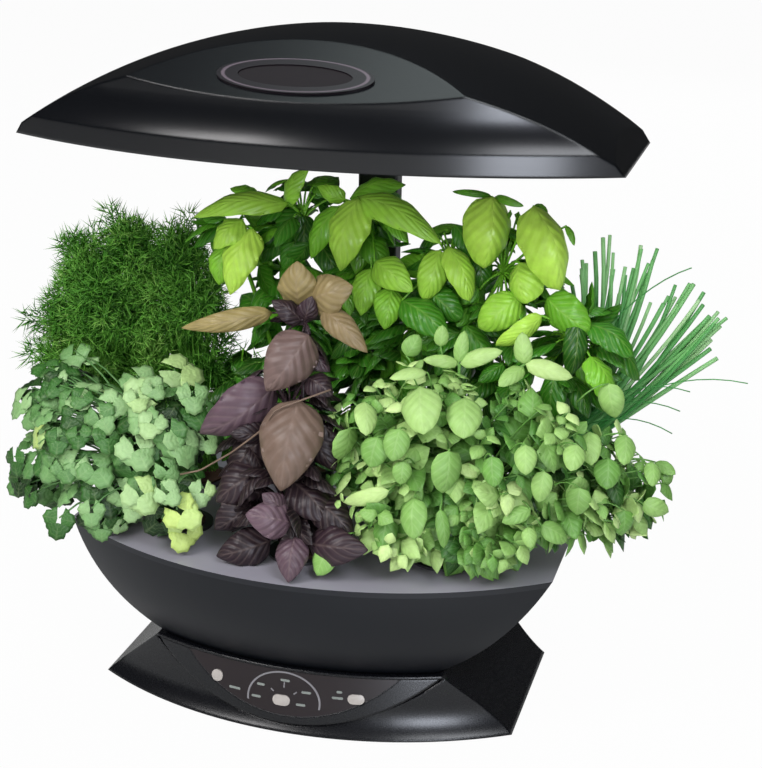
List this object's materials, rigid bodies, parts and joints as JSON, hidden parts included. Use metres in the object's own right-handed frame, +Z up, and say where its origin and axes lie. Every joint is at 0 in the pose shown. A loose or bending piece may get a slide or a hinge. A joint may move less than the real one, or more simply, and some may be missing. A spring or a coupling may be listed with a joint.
{
  "type": "countertop hydroponic garden",
  "caption": "Countertop hydroponic garden: flared base with control panel, boat-shaped water bowl, planting deck with seven plants, and an arched lamp hood on a telescopic mast.",
  "frame": {"origin": "on the surface the garden stands on, under the middle of the base", "axes": "+X to the viewer's right along the length, +Y to the rear where the mast stands, +Z up"},
  "size_m": [0.558, 0.2706, 0.482],
  "materials": {
    "black_abs": "satin moulded ABS",
    "black_abs_plain": "plain moulded ABS",
    "hood_abs": "satin moulded ABS with soft sheen",
    "bowl_abs": "blue-black satin moulded ABS",
    "deck_abs": "dark grey satin ABS",
    "basket_plastic": "moulded polypropylene",
    "grey_nylon": "moulded nylon",
    "white_nylon": "moulded nylon",
    "panel_film": "smoked panel film",
    "pale_button": "pale moulded button",
    "pale_lens": "milky light window",
    "silver_trim": "silver foil trim",
    "badge_ring": "glossy dark ring",
    "badge_plate": "glossy dark plate",
    "black_rubber": "soft rubber",
    "zinc_steel": "zinc plated steel",
    "circuit_board": "green circuit board",
    "reflector_sheet": "bright rolled aluminium",
    "lamp_glass": "phosphor coated tube",
    "peat_sponge": "open foam sponge",
    "dill_leaf": "feathery dark green leaf",
    "parsley_leaf": "lobed green leaf",
    "purple_leaf": "purple-brown leaf",
    "mint_leaf": "light green rounded leaf",
    "basil_leaf": "bright green cupped leaf",
    "chive_leaf": "smooth round blade"
  },
  "bodies": {
    "base": {"base_shell": "black_abs", "base_bottom_plate": "black_abs_plain", "foot_ring": "black_rubber", "base_screws": "zinc_steel", "cord_grommet": "black_rubber", "power_supply": "zinc_steel", "pump_stator": "grey_nylon", "control_board": "circuit_board", "dome_switches": "zinc_steel", "panel_bezel": "black_abs", "panel_face": "panel_film", "panel_arc_trim": "silver_trim", "indicator_lights": "pale_lens", "water_bowl": "bowl_abs", "pump_housing": "grey_nylon", "intake_strainer": "black_abs_plain", "riser_pipe": "grey_nylon", "float_stem": "grey_nylon", "planting_deck": "deck_abs", "door_hinge_pin": "zinc_steel", "basket_1": "basket_plastic", "basket_2": "basket_plastic", "basket_3": "basket_plastic", "basket_4": "basket_plastic", "basket_5": "basket_plastic", "basket_6": "basket_plastic", "basket_7": "basket_plastic", "growing_sponges": "peat_sponge", "plant_dill": "dill_leaf", "plant_parsley": "parsley_leaf", "plant_purple_basil": "purple_leaf", "plant_mint": "mint_leaf", "plant_green_basil": "basil_leaf", "plant_large_basil": "basil_leaf", "plant_chives": "chive_leaf", "mast_column": "black_abs_plain", "column_collar": "black_abs_plain", "rocker_pin": "zinc_steel", "release_spring": "zinc_steel"},
    "hood": {"sliding_mast": "black_abs_plain", "hood_shell": "hood_abs", "hood_screws": "zinc_steel", "lamp_reflector": "reflector_sheet", "lamp_holder": "white_nylon", "lamp_left": "lamp_glass", "lamp_right": "lamp_glass", "badge_ring": "badge_ring", "badge_plate": "badge_plate"},
    "light_button": {"button_light": "pale_button"},
    "select_button": {"button_select": "pale_button"},
    "reset_button": {"button_reset": "pale_button"},
    "rocker": {"release_rocker": "black_abs_plain", "clamp_pad": "black_rubber"},
    "door": {"fill_door": "deck_abs"},
    "impeller": {"pump_impeller": "white_nylon"},
    "float": {"level_float": "white_nylon"}
  },
  "joints": [
    {"name": "hood_lift", "type": "slide", "parent": "base", "child": "hood", "axis": [0, 0, 1], "range_m": [-0.15, 0], "deforming": ["plant_dill", "plant_parsley", "plant_purple_basil", "plant_mint", "plant_green_basil", "plant_large_basil", "plant_chives"]},
    {"name": "light_press", "type": "slide", "parent": "base", "child": "light_button", "axis": [0.1867, 0.9602, -0.2079], "range_m": [0, 0.0008], "stiffness_N_per_m": 400, "springref_m": -0.002},
    {"name": "select_press", "type": "slide", "parent": "base", "child": "select_button", "axis": [0.0104, 0.9781, -0.2079], "range_m": [0, 0.0008], "stiffness_N_per_m": 400, "springref_m": -0.002},
    {"name": "reset_press", "type": "slide", "parent": "base", "child": "reset_button", "axis": [-0.1761, 0.9622, -0.2079], "range_m": [0, 0.0008], "stiffness_N_per_m": 400, "springref_m": -0.002},
    {"name": "release_rock", "type": "hinge", "parent": "base", "child": "rocker", "pos_m": [0, 0.13755, 0.215], "axis": [-1, 0, 0], "range_deg": [0, 6], "stiffness_Nm_per_rad": 0.3, "springref_deg": -8.59, "deforming": ["release_spring"]},
    {"name": "door_hinge", "type": "hinge", "parent": "base", "child": "door", "pos_m": [-0.092, 0.096, 0.1266], "axis": [-1, 0, 0], "range_deg": [0, 80]},
    {"name": "impeller_spin", "type": "hinge", "parent": "base", "child": "impeller", "pos_m": [0, 0, 0.05], "axis": [0, 0, 1], "continuous": true},
    {"name": "float_rise", "type": "slide", "parent": "base", "child": "float", "axis": [0, 0, 1], "range_m": [0, 0.02]}
  ]
}
